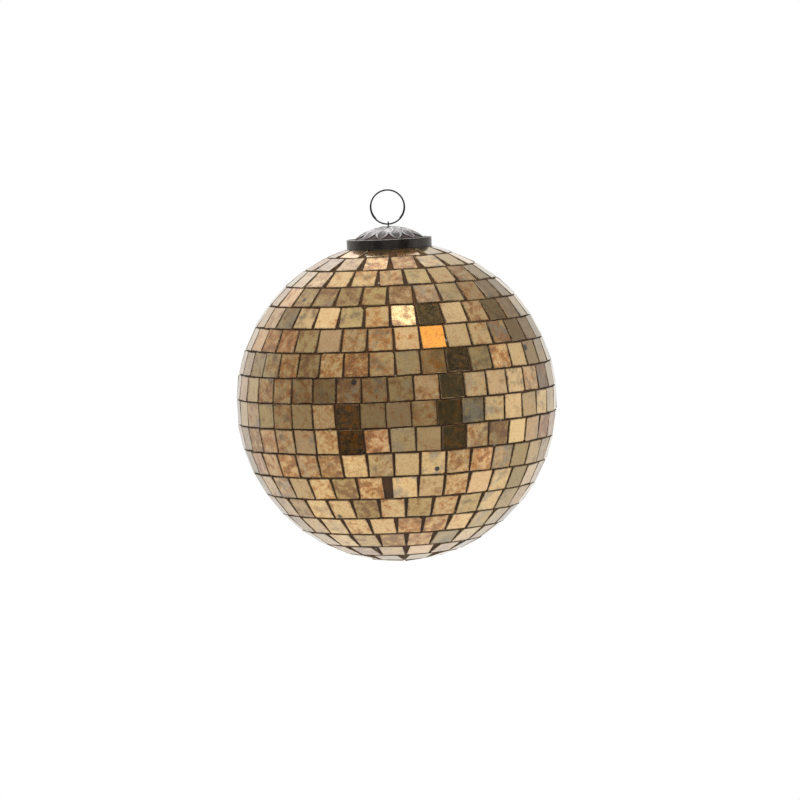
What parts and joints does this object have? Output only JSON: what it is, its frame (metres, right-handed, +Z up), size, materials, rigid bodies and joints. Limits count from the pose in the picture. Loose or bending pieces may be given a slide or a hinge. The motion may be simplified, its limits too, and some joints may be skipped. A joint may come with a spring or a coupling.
{
  "type": "mirror ball",
  "caption": "Hanging mosaic mirror ball: square antique-gold mirror tiles on a glass globe, with a petal-embossed cap and a wire hanging ring.",
  "frame": {"origin": "inner top of the hanging ring, where a hook bears", "axes": "+Z up along the ball's axis, from the ball to the ring; the ring lies in the XZ plane and its hole faces -Y and +Y"},
  "size_m": [0.1505, 0.1504, 0.1751],
  "materials": {
    "dark_wire": "dark bronze-toned steel wire",
    "bronze_cap": "dark antique bronze on pressed steel sheet, rubbed bright on the raised petals",
    "globe_glass": "clear blown glass",
    "brown_grout": "dark brown resin grout",
    "antique_mirror": "antique champagne-gold mirror glass with rust-brown speckle"
  },
  "bodies": {
    "ring": {"hanging_ring": "dark_wire"},
    "hanger": {"hanger_wire": "dark_wire"},
    "cap": {"cap": "bronze_cap"},
    "globe": {"glass_globe": "globe_glass", "grout_bed": "brown_grout", "tile_row_01": "antique_mirror", "tile_row_02": "antique_mirror", "tile_row_03": "antique_mirror", "tile_row_04": "antique_mirror", "tile_row_05": "antique_mirror", "tile_row_06": "antique_mirror", "tile_row_07": "antique_mirror", "tile_row_08": "antique_mirror", "tile_row_09": "antique_mirror", "tile_row_10": "antique_mirror", "tile_row_11": "antique_mirror", "tile_row_12": "antique_mirror", "tile_row_13": "antique_mirror", "tile_row_14": "antique_mirror", "tile_row_15": "antique_mirror", "tile_row_16": "antique_mirror", "tile_row_17": "antique_mirror", "tile_row_18": "antique_mirror", "bottom_tile": "antique_mirror"}
  },
  "joints": [
    {"name": "ring_swing", "type": "hinge", "parent": "ring", "child": "hanger", "pos_m": [0, 0, -0.01568], "axis": [1, 0, 0], "range_deg": [-100, 100]},
    {"name": "cap_turn", "type": "hinge", "parent": "hanger", "child": "cap", "pos_m": [0, 0, -0.02], "axis": [0, 0, 1], "continuous": true},
    {"name": "globe_pull", "type": "slide", "parent": "cap", "child": "globe", "axis": [0, 0, -1], "range_m": [0, 0.045]}
  ]
}
